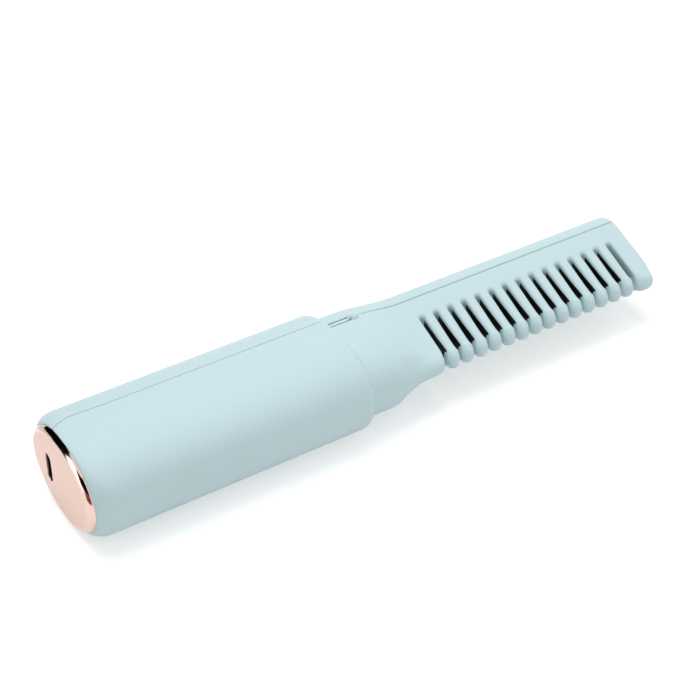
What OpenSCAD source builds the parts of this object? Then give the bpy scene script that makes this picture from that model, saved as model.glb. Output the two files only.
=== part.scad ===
// Cordless hair straightening comb: an oval battery handle, a stepped neck and a heated wedge-shaped
// comb blade. X runs along the length from the end cap to the tip, the spine faces +Y, the teeth
// point to -Y and the front faces +Z. Drawing coordinates start at the centre of the handle's open
// end, and placed() moves them so that the part lies on its back with its origin under its middle.

/* [Handle] */
// Width of the handle from spine to tooth side
handle_w = 40.8; // [40:0.2:43]
// Thickness of the handle's oval before its flats
handle_t = 28.7; // [28.5:0.1:30]
// Distance between the handle's front and back flats
handle_flats = 28.4; // [28.2:0.1:28.4]
// Where the shoulder starts to round, from the cap end
shoulder_x = 84.7; // [84:0.1:85.2]
// Radius of the shoulder at the neck
shoulder_r = 3.7; // [3:0.1:4]
// Length over which the shell rounds in at the cap end
lip_l = 4.9; // [4.4:0.1:5.4]
// How far that lip draws in on the spine and tooth sides
lip_y = 2; // [1.6:0.1:2.2]
// How far that lip draws in on the front and back
lip_z = 0.5; // [0.3:0.1:0.6]
// Power of the oval: 2 is an ellipse and higher is squarer
oval_power = 2.5; // [2.4:0.1:2.8]
// Wall thickness of the shells
wall = 2; // [1.8:0.1:2.1]
// Height of the parting plane between housing and lid, from the centre towards the spine
seam_y = 6.9; // [6.8:0.1:7.2]

/* [Neck] */
// How far the neck is stepped in all round, where a protective cover seats
neck_step = 2.3; // [2:0.1:2.4]
// Where the neck's outline starts to blend into the blade
neck_end = 97; // [96.5:0.5:98]
// Where its front and back faces start to, more slowly
face_start = 95; // [94.5:0.5:97]
// Length of each snap finger that holds the protective cover
finger_len = 7.5; // [5:0.1:7.6]
// Width of each snap finger
finger_w = 1.55; // [1.2:0.05:1.7]
// Radius of the bump at each finger's end
finger_bump_r = 1.4; // [1:0.1:1.5]

/* [Comb blade] */
// Where the outline's blend into the blade ends
blade_x = 107; // [106:0.5:108]
// Where the faces' blend into the blade ends
face_end = 114; // [112:0.5:114.5]
// Position of the comb's tip
tip_x = 197; // [196:0.1:198]
// Distance of the spine edge from the centre line
blade_spine = 13.6; // [13.4:0.1:14]
// Distance of the tooth tips from the centre line
blade_tooth = 16.7; // [16.4:0.1:17]
// Rounding radius of the blade's two spine edges
spine_r = 5; // [4.5:0.1:5.2]
// Half distance between the centres of those two roundings
spine_z = 4.8; // [4.7:0.1:5.2]
// Rounding radius of the blade's tooth edge
tooth_r = 3.1; // [3:0.1:3.3]
// Lean of the teeth and the tip towards the handle, for each unit of depth
lean = 0.055; // [0:0.005:0.07]
// Number of teeth
teeth = 14; // [14:1:14]
// Distance from one tooth to the next
tooth_pitch = 5.13; // [5.1:0.01:5.16]
// Position of the first gap
first_gap_x = 117; // [116.8:0.1:117.2]
// Width of each gap
gap_w = 1.8; // [1.6:0.1:2]
// Distance of the gaps' roots from the centre line, towards the spine
gap_root_y = 0.5; // [0:0.1:0.8]
// Width of the bulb at each tooth's end
bulb_w = 4.2; // [4:0.1:4.4]

/* [End cap and charging port] */
// How far the end cap's rim stands proud of the shell
cap_h = 1.5; // [1.5:0.1:1.8]
// How far the middle of the cap's face is crowned past its rim
cap_crown = 0.5; // [0.3:0.1:0.6]
// Length of the charging port's opening, front to back
port_l = 9.4; // [9.2:0.1:9.6]
// Width of the charging port's opening
port_w = 3.4; // [3.3:0.1:3.6]
// Distance of the port from the centre towards the spine
port_y = 6.5; // [6.3:0.1:6.6]

/* [Power button] */
// Position of the button along the handle
button_x = 60; // [58:1:64]
// Radius of the button
button_r = 5; // [4.5:0.1:5.2]
// Travel of the button
button_travel = 0.5; // [0.3:0.05:0.6]

/* [Battery] */
// Radius of the cell
cell_r = 9.2; // [9.1:0.05:9.25]
// Length of the cell
cell_l = 65.2; // [64.8:0.1:65.4]

/* [Hidden] */

shell_blue = [0.76, 0.87, 0.89];
rose_gold = [0.91, 0.73, 0.67];
ring_points = 48;
eps = 0.01;

handle_a = handle_w / 2;
handle_b = handle_t / 2;
face_x = -cap_h - cap_crown;
half_length = (tip_x + face_x) / 2;

// Board stack: a 1 mm board whose upper face carries the port
board_t = 1;
usb_h = 3.26;
usb_w = 8.94;
usb_l = 7.35;
board_top = port_y - usb_h / 2;
board_bottom = board_top - board_t;
board_x0 = 1;
board_x1 = 82;
board_half_w = 10.2;
screw_z = 9.3;
screw_xs = [6, 79];
ledge_z0 = 7.6;

// Battery, low in the handle
cell_y = -7.3;
cell_x0 = 9;
cradle_t = 1.15;

// Switch under the button
switch_w = 6.2;
switch_h = 3.5;
plunger_r = 1.75;
plunger_top = board_top + 9.5;
plunger_bottom = board_top + 1.6;
guide_y = 16.6;
flange_r = 6.2;
flange_t = 1;
led_xs = [41, 45, 49];

// Heated comb: teeth that the housing's front and back bars cover
tooth_w = tooth_pitch - gap_w;
heater_x0 = 113.2;
heater_x1 = 191.5;
heater_tip_y = -12.7;
heater_root_y = gap_root_y + 1.4;
heater_top = 6.6;
bar_root = 2.2;
bar_tip = 1;
base_half_t = 5;
element_x0 = 119;
element_x1 = 186;
element_half_w = 4.6;
element_t = 1.7;
mica_t = 0.4;
clamp_t = 0.8;
clamp_half_w = 2.6;
clamp_y = heater_top + element_t + mica_t;
heater_screw_xs = [116.6, 189];

function blend(a, b, f) = a + (b - a) * f;
function smooth(f) = let (g = min(1, max(0, f))) g * g * (3 - 2 * g);
// How far an edge of radius r has fallen at distance d past the start of its curve
function edge_drop(d, r) = d <= 0 ? 0 : r - sqrt(max(0, r * r - d * d));

spine_cy = blade_spine - spine_r;
tooth_cy = tooth_r - blade_tooth;
face_angle = atan2(spine_z, spine_cy - tooth_cy)
    + asin((spine_r - tooth_r) / norm([spine_z, spine_cy - tooth_cy]));
// Half thickness of the wedge-shaped blade at height y, before its edges round off
function wedge(y) = spine_z + spine_r / cos(face_angle) + (y - spine_cy) * tan(face_angle);

// Point of the handle's oval whose outward normal has angle t, for an oval smaller by drop. The lip
// draws it in to a plain ellipse as f goes from 0 to 1.
function oval_at(t, drop, f) = let (
    a = handle_a - drop - lip_y * f,
    b = handle_b - drop - lip_z * f,
    power = blend(oval_power, 2, f),
    q = power / (power - 1),
    fit = pow(1 + pow(b / a * tan(180 / ring_points), q), -1 / power),
    u = a * abs(cos(t)),
    v = b * abs(sin(t)),
    s = pow(pow(u, q) + pow(v, q), 1 / power),
    z = min(b * pow(v, q - 1) / s, handle_flats / 2 - drop - lip_z * f))
    [sign(cos(t)) * a / fit * pow(u, q - 1) / s, sign(sin(t)) * z];

// How far the lip has drawn in at x: nothing past its length, and 1 at the cap
function lip(x) = let (d = 1 - min(1, max(0, x / lip_l))) 1 - sqrt(1 - d * d);

// How far the oval is smaller than the handle at x. An inner surface meets the shoulder earlier.
function oval_drop(x, inset) = inset + min(neck_step, edge_drop(x + inset - shoulder_x, shoulder_r));

// Point of the blade's section with normal angle t: three circles in a band, less thin all round,
// with the band's two ends moved in by extra. Both grow near the tip, where its corners round off.
tip_corner_r = 3;
tip_edge_r = 1.3;
lean_y = blade_spine - tip_corner_r;
function blade_point(t, x, inset) = let (
    outer = inset == 0,
    thin = inset + (outer ? edge_drop(x - tip_x + tip_edge_r, tip_edge_r) : 0),
    extra = outer ? edge_drop(x - tip_x + tip_corner_r, tip_corner_r) - thin : 0,
    spine = spine_cy - extra,
    tooth = tooth_cy + extra,
    at_spine = spine * cos(t) + spine_z * abs(sin(t)) + spine_r > tooth * cos(t) + tooth_r,
    r = (at_spine ? spine_r : tooth_r) - thin)
    [(at_spine ? spine : tooth) + r * cos(t), (at_spine ? spine_z * sign(sin(t)) : 0) + r * sin(t)];

function ring_angle(i) = 360 * (i + 0.5) / ring_points;
// The outline blends by f and the faces by g, which starts sooner and ends later
function ring(x, inset) = [for (i = [0:ring_points - 1]) let (
    t = ring_angle(i),
    f = smooth((x - neck_end) / (blade_x - neck_end)),
    g = smooth((x - face_start) / (face_end - face_start)),
    p = oval_at(t, oval_drop(x, inset), lip(x)),
    q = blade_point(t, x, inset),
    y = blend(p.x, q.x, f),
    z = blend(p.y, q.y, blend(f, g, pow(sin(t), 2))))
    [x + lean * f * (y - lean_y), y, z]];
function end_ring(x, drop) = [for (i = [0:ring_points - 1]) let (p = oval_at(ring_angle(i), drop, 1))
    [x, p.x, p.y]];

// A closed body through rings of points, each ring square to X
module loft(rings) {
    n = ring_points;
    last = len(rings) - 1;
    points = [for (r = rings) each r];
    sides = [for (k = [0:last - 1], i = [0:n - 1]) let (
        a = k * n + i, b = k * n + (i + 1) % n) each [[a, a + n, b + n], [a, b + n, b]]];
    ends = [[for (i = [0:n - 1]) i], [for (i = [n - 1:-1:0]) last * n + i]];
    polyhedron(points = points, faces = concat(sides, ends), convexity = 6);
}

lip_xs = [for (t = [0:18:90]) lip_l * (1 - cos(t))];
shoulder_end = shoulder_x + sqrt(shoulder_r * shoulder_r - pow(shoulder_r - neck_step, 2));
shoulder_xs = [for (k = [0:4]) shoulder_x + (shoulder_end - shoulder_x) * sin(90 * k / 4)];
blend_xs = [for (k = [0:9]) blend(face_start, face_end, k / 9)];
tip_xs = [for (t = [0:15:90]) tip_x - tip_corner_r * (1 - sin(t))];
inner_shoulder_xs = [for (x = shoulder_xs) x - wall];

module outer_form() {
    loft([for (x = concat(lip_xs, shoulder_xs, blend_xs, tip_xs)) ring(x, 0)]);
}

module inner_form() {
    xs = concat([-1], lip_xs, inner_shoulder_xs, blend_xs, [heater_x1 + 1]);
    loft([for (x = xs) ring(x, wall)]);
}

// Half space above or below the parting plane
module above_seam() {
    translate([-5, seam_y, -20]) cube([tip_x + 10, 20, 40]);
}

module below_seam() {
    translate([-5, seam_y - 40, -20]) cube([tip_x + 10, 40, 40]);
}

// Gaps and teeth are placed by where they cross the centre line
function gap_x(i) = first_gap_x + i * tooth_pitch;
function tooth_x(i) = gap_x(i) + tooth_pitch / 2;

// Moves its children to a height on a line that leans with the teeth
module leaning(x, y) {
    translate([x + lean * y, y]) children();
}

// Leaning strip of the comb's plane, from x0 to x1 on the centre line
module strip(x0, x1, y0, y1) {
    polygon([[x0 + lean * y0, y0], [x1 + lean * y0, y0], [x1 + lean * y1, y1], [x0 + lean * y1, y1]]);
}

// Outline of one tooth in the plane of the comb: a straight bar that swells to a bulb
bulb_start_y = -11.5;
module tooth_outline(i) {
    x = tooth_x(i);
    hull() {
        leaning(x, bulb_start_y) circle(d = tooth_w - 0.1, $fn = 16);
        leaning(x, bulb_w / 2 - blade_tooth) circle(d = bulb_w, $fn = 24);
    }
    strip(x - tooth_w / 2, x + tooth_w / 2, bulb_start_y - 0.6, heater_root_y);
}

// Space beside the rounded corner of an end plate: the plate is on the side of x that s gives
plate_r = 2.5;
module plate_corner(x, s) {
    leaning(x, -blade_tooth) difference() {
        translate([s > 0 ? -0.5 : -plate_r, -0.5]) square(plate_r + 0.5);
        translate([s * (plate_r - 0.03), plate_r]) circle(r = plate_r, $fn = 32);
    }
}

// All gaps between the teeth, with round roots, cut through front to back
module gaps() {
    r = gap_w / 2;
    root = gap_root_y - r;
    translate([0, 0, -15]) linear_extrude(30) {
        difference() {
            strip(gap_x(0) - r, gap_x(teeth) + r, -blade_tooth - 2, root);
            for (i = [0:teeth - 1]) tooth_outline(i);
        }
        for (i = [0:teeth]) leaning(gap_x(i), root) circle(r = r + 0.04, $fn = 16);
        plate_corner(gap_x(0) - r, -1);
        plate_corner(gap_x(teeth) + r, 1);
    }
}

// Bevels both edges of one gap on the front face, and scoops its root
bevel = 0.8;
module gap_bevel(i) {
    root = gap_root_y - gap_w / 2;
    low = -11.9;
    hull() {
        translate([0, 0, wedge(root)]) leaning(gap_x(i), root) sphere(r = gap_w / 2 + bevel, $fn = 10);
        translate([0, 0, wedge(low)]) leaning(gap_x(i), low) rotate([0, 45, 0])
            cube([gap_w + bevel, eps, gap_w + bevel], center = true);
    }
}

// The heated teeth, up to a height: wedges between the front and back bars, thicker by clear and
// wider than the bars by side
module heated_teeth(top, clear, side) {
    low = heater_tip_y - clear;
    tip_t = wedge(heater_tip_y) - bar_tip + clear;
    root_t = wedge(heater_root_y) - bar_root + clear;
    top_t = blend(tip_t, root_t, (top - low - 1) / (heater_root_y - low - 1));
    intersection() {
        along_x(heater_x0, heater_x1) polygon([[low, -tip_t + 1], [low + 1, -tip_t], [top, -top_t],
            [top, top_t], [low + 1, tip_t], [low, tip_t - 1]]);
        translate([0, 0, -10]) linear_extrude(20) for (i = [0:teeth - 1])
            strip(tooth_x(i) - tooth_w / 2 - side, tooth_x(i) + tooth_w / 2 + side, low - 1, top + 1);
    }
}

// Extrudes a section drawn as [Y, Z] from x0 to x1
module along_x(x0, x1) {
    translate([x0, 0, 0]) rotate([90, 0, 90]) linear_extrude(x1 - x0) children();
}

// A round pin along X, Y or Z between two coordinates
module pin_x(x0, x1, y, z, r) {
    translate([x0, y, z]) rotate([0, 90, 0]) cylinder(h = x1 - x0, r = r, $fn = 48);
}

module pin_y(y0, y1, x, z, r) {
    translate([x, y0, z]) rotate([-90, 0, 0]) cylinder(h = y1 - y0, r = r, $fn = 48);
}

// A box given by its two corners
module block(low, high) {
    translate(low) cube(high - low);
}

module placed() {
    translate([-half_length, 0, handle_flats / 2]) children();
}

module both_faces() {
    children();
    mirror([0, 0, 1]) children();
}

finger_x0 = shoulder_end + 0.3;
slit_w = 0.35;
neck_half_t = handle_flats / 2 - neck_step;

// Slit beside the snap finger, through the neck's wall
module finger_slit() {
    block([finger_x0, seam_y - finger_w - slit_w, 8], [finger_x0 + finger_len, seam_y - finger_w, 13]);
}

// Bump at the finger's free end, three quarters sunk in the neck
module finger_bump() {
    r = finger_bump_r;
    translate([finger_x0 + finger_len + r * 0.8, seam_y - r * 0.86, neck_half_t - r * 0.6])
        scale([1.15, 0.84, 1]) sphere(r = r, $fn = 24);
}

hook_xs = [18, 32, 46, 72];
hook_len = 4;
hook_z = 11.6;
hook_t = 1.1;
hook_mid = seam_y - 1.8;
hook_low = seam_y - 3.2;
cap_screw_y = -11.4;
cap_screw_z = 4.6;
boss_x0 = 2.6;
boss_x1 = 8;

// Blocks inside the housing: four ledges under the board, and a boss behind the end frame
module inner_blocks() {
    both_faces() for (x = screw_xs) block([x - 3, 0, ledge_z0], [x + 3, board_bottom, 14]);
    block([boss_x0, -handle_a, -6.6], [boss_x1, -9.7, 6.6]);
}

module main_housing() {
    color(shell_blue) placed() intersection() {
        difference() {
            union() {
                outer_form();
                both_faces() finger_bump();
            }
            difference() {
                intersection() {
                    inner_form();
                    union() {
                        block([-2, heater_root_y, -20], [tip_x, seam_y + 1, 20]);
                        block([-2, -handle_a, -20], [neck_end + 2, heater_root_y + eps, 20]);
                    }
                }
                inner_blocks();
            }
            gaps();
            both_faces() for (i = [0:teeth]) gap_bevel(i);
            heated_teeth(heater_root_y + 0.4, 0.05, 0.1);
            both_faces() finger_slit();
            both_faces() for (x = screw_xs) pin_y(-2, board_bottom + 1, x, screw_z, 1.05);
            both_faces() pin_x(0, boss_x1 + 1, cap_screw_y, cap_screw_z, 1.05);
            both_faces() for (x = hook_xs)
                block([x - hook_len / 2 - 0.2, hook_low - 0.2, hook_z - 0.4],
                    [x + hook_len / 2 + 0.2, hook_mid + 0.2, 12.8]);
        }
        below_seam();
    }
}

module snap_hook(x) {
    x0 = x - hook_len / 2;
    x1 = x + hook_len / 2;
    block([x0, hook_low, hook_z - hook_t], [x1, seam_y + 4, hook_z]);
    hull() {
        block([x0, hook_low + 0.1, hook_z - 0.2], [x1, hook_low + 0.3, hook_z]);
        block([x0, hook_mid - 0.3, hook_z - 0.2], [x1, hook_mid, hook_z + 0.5]);
    }
}

module spine_lid() {
    color(shell_blue) placed() difference() {
        union() {
            intersection() {
                difference() {
                    outer_form();
                    inner_form();
                }
                above_seam();
            }
            intersection() {
                pin_y(guide_y, 19, button_x, 0, 8);
                outer_form();
            }
            both_faces() for (x = hook_xs) snap_hook(x);
        }
        pin_y(10, 22, button_x, 0, button_r + 0.15);
        for (x = led_xs) pin_y(10, 22, x, 0, 1.05);
    }
}

// Oval plate, smaller than the handle by drop, with the lip's draw f
module oval_plate(drop, f, x0, x1) {
    along_x(x0, x1) polygon([for (i = [0:ring_points - 1]) oval_at(ring_angle(i), drop, f)]);
}

// Stadium of length l along Z and width w along Y, from x0 to x1
module port_shape(l, w, x0, x1) {
    along_x(x0, x1) translate([port_y, 0]) {
        square([w, l - w], center = true);
        for (s = [-1, 1]) translate([0, s * (l - w) / 2]) circle(d = w, $fn = 48);
    }
}

peg_ys = [-13.5, 13.5];
frame_t = 2.4;
cap_edge_r = 1.45;
cap_drop = 0.03;
crown_drop = 6;

// Rings of the cap's crowned face, from its flat middle out to the rim's rounding
crown_rings = [for (k = [0:5]) let (f = k / 5)
    end_ring(face_x + cap_crown * f * f, blend(crown_drop, cap_drop + cap_edge_r, f))];

module end_cap() {
    color(rose_gold) placed() {
        difference() {
            loft(concat(crown_rings,
                [for (t = [75:-15:0]) end_ring(cap_edge_r * (1 - sin(t)) - cap_h,
                    cap_drop + cap_edge_r * (1 - cos(t)))],
                [end_ring(0, cap_drop)]));
            port_shape(port_l, port_w, face_x - 1, 1);
        }
        for (y = peg_ys) pin_x(0, 2, y, 0, 1.2);
    }
}

module end_frame() {
    color("gainsboro") placed() difference() {
        oval_plate(wall + 0.1, 1, 0, frame_t);
        block([-1, -9.5, -9], [frame_t + 1, 10.2, 9]);
        block([-1, board_bottom - 0.2, -board_half_w - 0.3],
            [frame_t + 1, board_top + 0.2, board_half_w + 0.3]);
        for (y = peg_ys) pin_x(-1, frame_t - 0.2, y, 0, 1.25);
        both_faces() pin_x(-1, frame_t + 1, cap_screw_y, cap_screw_z, 1.1);
        both_faces() pin_x(-1, 1.25, cap_screw_y, cap_screw_z, 1.95);
    }
}

// Countersunk in the end frame, with a slot across each head
module cap_screws() {
    color("silver") placed() both_faces() difference() {
        union() {
            pin_x(0.05, 1.25, cap_screw_y, cap_screw_z, 1.9);
            pin_x(1.25, boss_x1 - 1, cap_screw_y, cap_screw_z, 1);
        }
        block([-0.5, cap_screw_y - 1.2, cap_screw_z - 0.2], [0.6, cap_screw_y + 1.2, cap_screw_z + 0.2]);
    }
}

module power_button() {
    color([0.86, 0.93, 0.94]) placed() {
        pin_y(guide_y - flange_t - 0.05, handle_a, button_x, 0, button_r);
        pin_y(guide_y - flange_t - 0.05, guide_y - 0.05, button_x, 0, flange_r);
        pin_y(plunger_top, guide_y - flange_t, button_x, 0, 1.6);
    }
}

module switch_plunger() {
    color("dimgray") placed() pin_y(plunger_bottom, plunger_top, button_x, 0, plunger_r);
}

module switch_body() {
    half = switch_w / 2;
    color("darkslategray") placed() difference() {
        block([button_x - half, board_top, -half], [button_x + half, board_top + switch_h, half]);
        pin_y(board_top + 0.9, board_top + switch_h + 1, button_x, 0, plunger_r + 0.1);
    }
}

led_h = 0.7;

// Three light rods on a bar under the lid
module light_guide() {
    color([0.95, 0.95, 0.9]) placed() {
        for (x = led_xs) pin_y(board_top + led_h, 20.3, x, 0, 1);
        block([led_xs[0], 13, -1], [led_xs[2], 15, 1]);
    }
}

module status_leds() {
    color("ivory") placed() for (x = led_xs)
        block([x - 0.8, board_top, -0.4], [x + 0.8, board_top + led_h, 0.4]);
}

module main_board() {
    color("seagreen") placed() difference() {
        block([board_x0, board_bottom, -board_half_w], [board_x1, board_top, board_half_w]);
        for (x = screw_xs, s = [-1, 1]) pin_y(0, 8, x, s * screw_z, 1.05);
    }
}

module board_screws() {
    color("silver") placed() for (x = screw_xs, s = [-1, 1]) difference() {
        union() {
            pin_y(board_top, board_top + 1.2, x, s * screw_z, 1.7);
            pin_y(board_bottom - 3, board_top, x, s * screw_z, 1);
        }
        block([x - 1.1, board_top + 0.7, s * screw_z - 0.2], [x + 1.1, board_top + 2, s * screw_z + 0.2]);
    }
}

usb_x0 = face_x + 0.4;
usb_wall = 0.3;

module usb_shell() {
    color("silver") placed() difference() {
        port_shape(usb_w, usb_h, usb_x0, usb_x0 + usb_l);
        port_shape(usb_w - 2 * usb_wall, usb_h - 2 * usb_wall, usb_x0 - 1, usb_x0 + usb_l - 1);
    }
}

tongue_half_t = 0.35;
tongue_half_l = 3.3;

module usb_tongue() {
    color("black") placed()
        block([usb_x0 + 0.9, port_y - tongue_half_t, -tongue_half_l],
            [usb_x0 + usb_l - 1, port_y + tongue_half_t, tongue_half_l]);
}

// Two rows of contact strips, one on each side of the tongue
module usb_contacts() {
    color("gold") placed() for (k = [-5.5:1:5.5], s = [-1, 1])
        translate([usb_x0 + 1.3, port_y + s * (tongue_half_t + 0.04) - 0.04, k * 0.5 - 0.12])
            cube([4.4, 0.08, 0.24]);
}

// A chip with its lower face on the board
module on_board(x, z, l, w, h) {
    block([x - l / 2, board_top, z - w / 2], [x + l / 2, board_top + h, z + w / 2]);
}

module charge_chip() {
    color("black") placed() on_board(14, 3.5, 5, 4.4, 1.2);
}

module control_chip() {
    color("black") placed() on_board(30, 0, 6.5, 5.3, 1.3);
}

module heater_driver() {
    color("black") placed() on_board(68, 0, 6.5, 6, 2.3);
}

module power_inductor() {
    color("dimgray") placed() on_board(14, -4.5, 6.6, 6.6, 3);
}

module capacitors() {
    color("peru") placed() {
        for (x = [21, 24, 52.5, 72], s = [-1, 1]) on_board(x, s * 6.5, 2, 1.25, 1);
        for (z = [-2.4, 2.4]) on_board(24.5, z, 1.6, 0.8, 0.8);
    }
}

module sensor_socket() {
    color("white") placed() difference() {
        block([socket_x0, board_top, -socket_half_w], [socket_x1, board_top + 2.6, socket_half_w]);
        block([socket_x0 + 0.8, board_top + 0.8, -socket_half_w + 0.8],
            [socket_x1 - 0.8, board_top + 3, socket_half_w - 0.8]);
    }
}

module battery_cell() {
    color([0.24, 0.5, 0.72]) placed() {
        pin_x(cell_x0, cell_x0 + cell_l - 0.8, cell_y, 0, cell_r);
        pin_x(cell_x0 + cell_l - 0.8, cell_x0 + cell_l, cell_y, 0, 3.2);
    }
}

tab_t = 0.25;
tab_top = cell_y + cell_r + 0.3;

// Welded nickel strips, turned up at each end of the cell towards the board
module battery_tabs() {
    color("lightgray") placed() {
        block([cell_x0 - tab_t, cell_y - 3, -3], [cell_x0, tab_top, 3]);
        block([cell_x0 + cell_l, cell_y - 3, -3], [cell_x0 + cell_l + tab_t, tab_top, 3]);
    }
}

// Trough under the cell, with a foot along the housing's floor
module battery_cradle() {
    out_r = cell_r + cradle_t;
    color("lightgray") placed() {
        difference() {
            pin_x(cell_x0 + 4, cell_x0 + cell_l - 4, cell_y, 0, out_r);
            pin_x(cell_x0 + 3, cell_x0 + cell_l - 3, cell_y, 0, cell_r + 0.02);
            block([0, cell_y - 2.5, -15], [90, 10, 15]);
        }
        difference() {
            block([cell_x0 + 4, -handle_a + wall + 0.05, -1.4], [cell_x0 + cell_l - 4, cell_y, 1.4]);
            pin_x(cell_x0 + 3, cell_x0 + cell_l - 3, cell_y, 0, cell_r + 0.5);
        }
    }
}

module battery_foam() {
    color("darkslategray") placed()
        block([24, cell_y + cell_r, -3.5], [56, board_bottom, 3.5]);
}

// Short pins from the cell's tabs up to the board
module battery_leads() {
    color("crimson") placed() {
        pin_y(tab_top, board_bottom, cell_x0 - tab_t / 2, 0, 0.6);
        pin_y(tab_top, board_bottom, cell_x0 + cell_l + tab_t / 2, 0, 0.6);
    }
}

// A round lead through a list of points
module lead(points, r) {
    for (k = [0:len(points) - 2]) hull() {
        translate(points[k]) sphere(r = r, $fn = 16);
        translate(points[k + 1]) sphere(r = r, $fn = 16);
    }
}

socket_x0 = 77.5;
socket_x1 = 81.5;
socket_half_w = 3.5;
power_r = 0.75;
power_y = heater_top + element_t / 2;
sense_r = 0.4;
sense_y = clamp_y + clamp_t + 0.5;
sense_z = 2.4;
thermistor_x = 150;

// Two leads along the neck from the board to the end of the heating element
module heater_leads() {
    color("firebrick") placed() for (s = [-1, 1])
        lead([[76, board_top + power_r, s * 6], [82.5, board_top + power_r, s * 6],
            [112, power_y, s * 3.6], [element_x0 - power_r, power_y, s * 3.6]], power_r);
}

module sensor_leads() {
    color("khaki") placed() for (s = [-1, 1])
        lead([[socket_x1 + sense_r, board_top + 0.9, s * sense_z], [112, sense_y, s * sense_z],
            [thermistor_x - sense_r, sense_y, s * sense_z]], sense_r);
}

barrier_x = 95.4;
barrier_t = 1.8;

// Heat-proof bulkhead across the neck, with windows for the leads
module heat_barrier() {
    color("wheat") placed() difference() {
        oval_plate(neck_step + wall + 0.4, 0, barrier_x, barrier_x + barrier_t);
        both_faces() block([barrier_x - 1, 5.3, 3.7], [barrier_x + 3, 7.7, 5.9]);
        both_faces() block([barrier_x - 1, 6.8, 1.8], [barrier_x + 3, 9.2, 3]);
    }
}

module thermal_fuse() {
    color("silver") placed() pin_x(103, 111, heater_root_y + 1.5, 0, 1.4);
}

// Black metal comb: a bar in the blade with a wedge-shaped tooth inside each plastic tooth
module heater_comb() {
    root_t = wedge(heater_root_y) - bar_root;
    base_y = heater_root_y + 0.05;
    color([0.08, 0.08, 0.09]) placed() {
        difference() {
            along_x(heater_x0, heater_x1) polygon([[base_y, -root_t], [heater_top, -base_half_t],
                [heater_top, base_half_t], [base_y, root_t]]);
            for (x = heater_screw_xs) pin_y(heater_top - 3.7, heater_top + 1, x, 0, 1.05);
        }
        heated_teeth(base_y + 0.3, 0, 0.04);
    }
}

module heater_element() {
    color("whitesmoke") placed() block([element_x0, heater_top, -element_half_w],
        [element_x1, heater_top + element_t, element_half_w]);
}

module mica_sheet() {
    y0 = heater_top + element_t;
    color("tan") placed() block([element_x0, y0, -element_half_w - 0.3],
        [element_x1, y0 + mica_t, element_half_w + 0.3]);
}

// Spring plate over the element, with a foot at each end screwed to the comb
module heater_clamp() {
    w = clamp_half_w;
    x0 = heater_screw_xs[0] - 2;
    x1 = heater_screw_xs[1] + 2;
    color("lightsteelblue") placed() difference() {
        union() {
            block([x0, clamp_y, -w], [x1, clamp_y + clamp_t, w]);
            block([x0, heater_top, -w], [element_x0 - 0.2, clamp_y, w]);
            block([element_x1 + 0.2, heater_top, -w], [x1, clamp_y, w]);
        }
        for (x = heater_screw_xs) pin_y(heater_top - 1, clamp_y + 2, x, 0, 1.05);
        for (x = heater_screw_xs) pin_y(clamp_y - 0.4, clamp_y + 2, x, 0, 1.9);
    }
}

module heater_screws() {
    color("silver") placed() for (x = heater_screw_xs) {
        pin_y(heater_top - 3.5, clamp_y - 0.4, x, 0, 1);
        pin_y(clamp_y - 0.4, clamp_y + 0.8, x, 0, 1.8);
    }
}

module thermistor() {
    y0 = clamp_y + clamp_t;
    color("black") placed() block([thermistor_x, y0, -2.8], [thermistor_x + 3, y0 + 1, 2.8]);
}

main_housing();
spine_lid();
end_cap();
end_frame();
cap_screws();
power_button();
switch_plunger();
switch_body();
light_guide();
status_leds();
main_board();
board_screws();
usb_shell();
usb_tongue();
usb_contacts();
charge_chip();
control_chip();
heater_driver();
power_inductor();
capacitors();
sensor_socket();
battery_cell();
battery_tabs();
battery_cradle();
battery_foam();
battery_leads();
heater_leads();
sensor_leads();
heat_barrier();
thermal_fuse();
heater_comb();
heater_element();
mica_sheet();
heater_clamp();
heater_screws();
thermistor();
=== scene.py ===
import math
import bmesh
import bpy
import numpy as np
from mathutils import Matrix, Vector


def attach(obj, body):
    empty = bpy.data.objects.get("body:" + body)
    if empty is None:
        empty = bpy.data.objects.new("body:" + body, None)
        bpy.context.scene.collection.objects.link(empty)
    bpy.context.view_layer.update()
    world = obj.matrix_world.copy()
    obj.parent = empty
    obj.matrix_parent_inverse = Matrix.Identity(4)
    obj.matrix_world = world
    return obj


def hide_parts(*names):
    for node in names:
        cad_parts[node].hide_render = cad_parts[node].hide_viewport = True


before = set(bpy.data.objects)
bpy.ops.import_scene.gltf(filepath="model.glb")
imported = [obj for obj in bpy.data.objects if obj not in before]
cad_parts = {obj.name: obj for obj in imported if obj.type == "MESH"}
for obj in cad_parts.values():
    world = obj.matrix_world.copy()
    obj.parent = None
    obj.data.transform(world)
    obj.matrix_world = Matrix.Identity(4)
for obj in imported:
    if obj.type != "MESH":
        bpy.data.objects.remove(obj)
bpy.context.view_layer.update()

MM = 0.001
scene = bpy.context.scene

# Sizes are in mm. X runs from the handle's open end to the comb's tip, Y from the teeth to the spine and
# Z out of the front face. Y and Z start in the middle of the handle's oval.

# Handle: half width and half thickness of its oval, height and edge rounding of the flats on it,
# the oval's power, and the wall's thickness
HANDLE_A = 20.4
HANDLE_B = 14.35
HANDLE_FLAT = 14.2
FLAT_EDGE_R = 0.2
OVAL_POWER = 2.5
WALL = 2.0

# Rounded lip at the open end: its length, how far it draws in along Y and Z, and its edge's radius
LIP_L = 4.9
LIP_Y = 2.0
LIP_Z = 0.5
LIP_EDGE_R = 0.12

# Neck: where the shoulder starts, its rounding, and the step down to the neck
SHOULDER_X = 84.7
SHOULDER_R = 3.7
NECK_STEP = 2.3

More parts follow.
